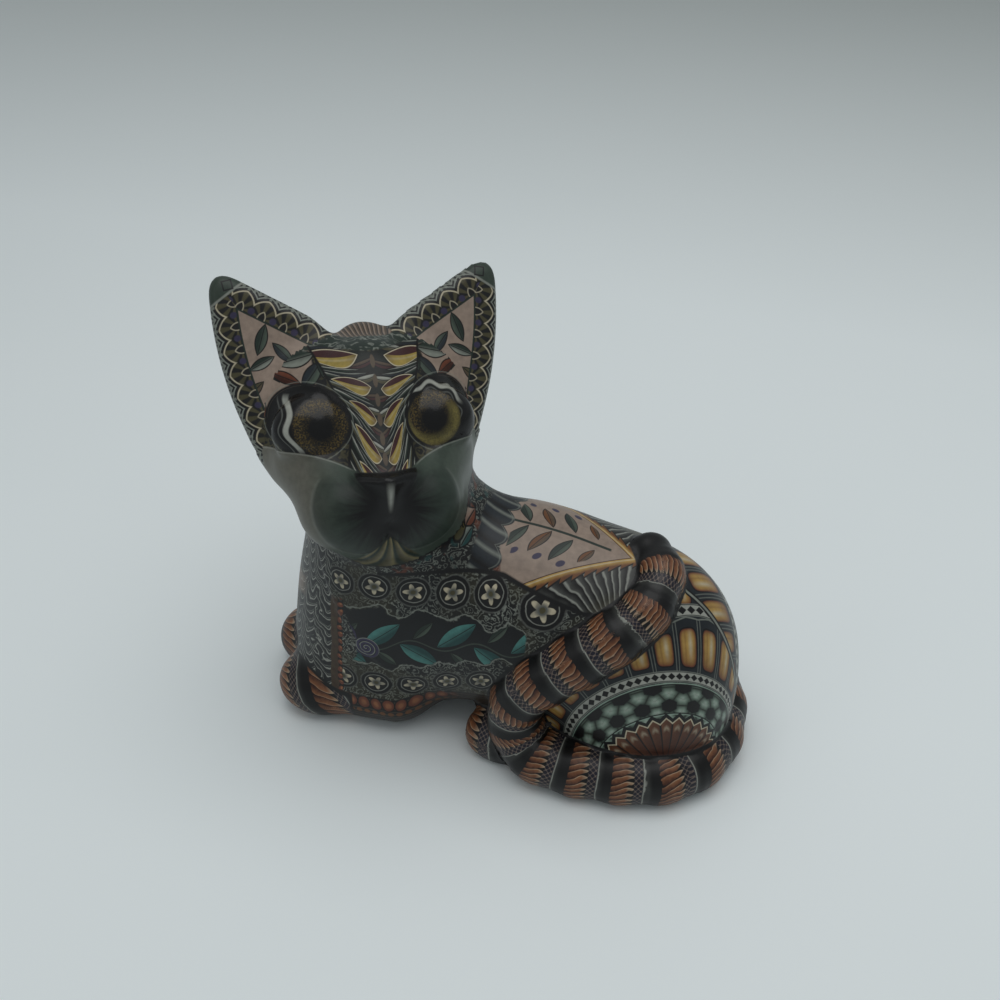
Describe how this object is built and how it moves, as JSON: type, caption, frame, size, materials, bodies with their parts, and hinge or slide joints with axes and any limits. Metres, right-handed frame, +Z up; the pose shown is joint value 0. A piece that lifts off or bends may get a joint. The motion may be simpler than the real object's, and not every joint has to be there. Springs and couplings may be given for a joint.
{
  "type": "cat figurine",
  "caption": "Small solid clay cat lying down, head turned to its left, tail laid over its flank, with a smooth patterned skin and a flat underside.",
  "frame": {"origin": "middle of the outline seen from above, on the floor the cat rests on", "axes": "+X along the body towards the tail end, -X towards the chest and forepaws, -Y towards the cat's left flank and the face, +Z up"},
  "size_m": [0.0964, 0.0486, 0.0805],
  "materials": {
    "clay": "satin, polished polymer clay with an inlaid pattern of thin cane slices"
  },
  "bodies": {
    "root": {"cat_figurine": "clay"}
  },
  "joints": []
}
